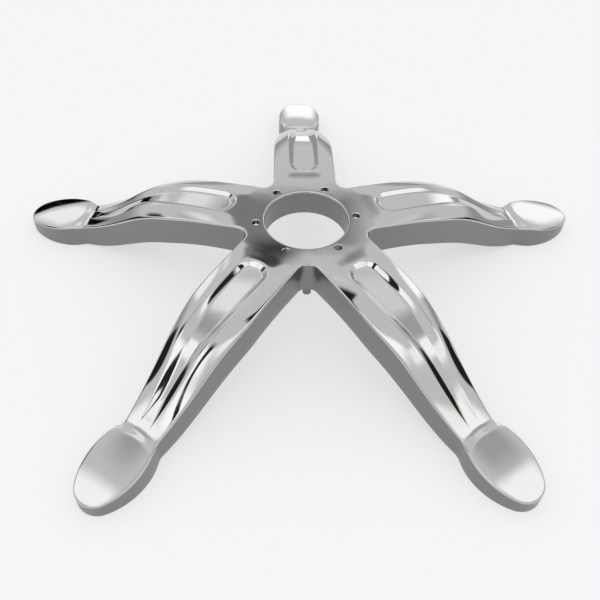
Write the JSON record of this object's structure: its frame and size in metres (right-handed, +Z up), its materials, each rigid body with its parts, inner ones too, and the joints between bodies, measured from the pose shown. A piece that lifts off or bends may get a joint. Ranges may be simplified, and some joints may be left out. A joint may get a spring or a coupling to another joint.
{
  "type": "office chair five star base",
  "caption": "Polished cast star base for a swivel chair: flat flanged hub with a wide bore, and arched fluted arms running down to tilted oval pads with caster sockets.",
  "frame": {"origin": "centre of the bolt circle in the hub's flat top face, on the bore's axis", "axes": "+Z up along the bore's axis, +Y along the arm that points straight back in the picture"},
  "size_m": [0.6678, 0.6373, 0.1012],
  "materials": {
    "polished_metal": "mirror polished"
  },
  "bodies": {
    "root": {"star_base": "polished_metal"}
  },
  "joints": []
}
